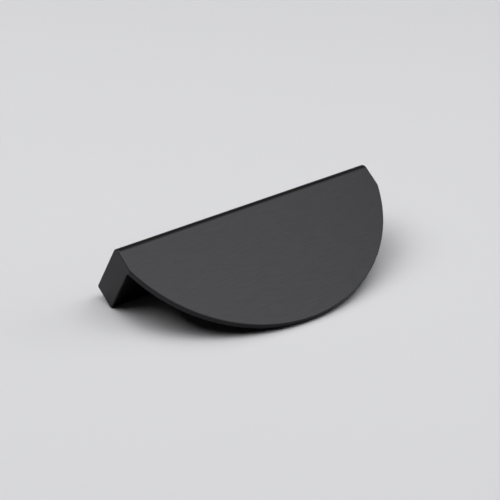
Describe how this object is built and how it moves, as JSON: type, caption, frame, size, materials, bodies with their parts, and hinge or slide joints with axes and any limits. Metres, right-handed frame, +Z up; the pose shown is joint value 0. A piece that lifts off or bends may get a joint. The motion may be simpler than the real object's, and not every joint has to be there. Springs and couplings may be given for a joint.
{
  "type": "half moon cabinet pull",
  "caption": "Half moon cabinet pull: a flat half-round plate stood off the drawer front by a solid leg along its straight edge, with tapped holes in the back for screws.",
  "frame": {"origin": "centre of the mounting face, midway between the two screw holes", "axes": "+X along the straight edge, +Y into the drawer front, +Z up, with the half moon hanging down"},
  "size_m": [0.12, 0.029, 0.056],
  "materials": {
    "black_anodised": "matt black anodised, finely brushed along the straight edge"
  },
  "bodies": {
    "root": {"pull_body": "black_anodised"}
  },
  "joints": []
}
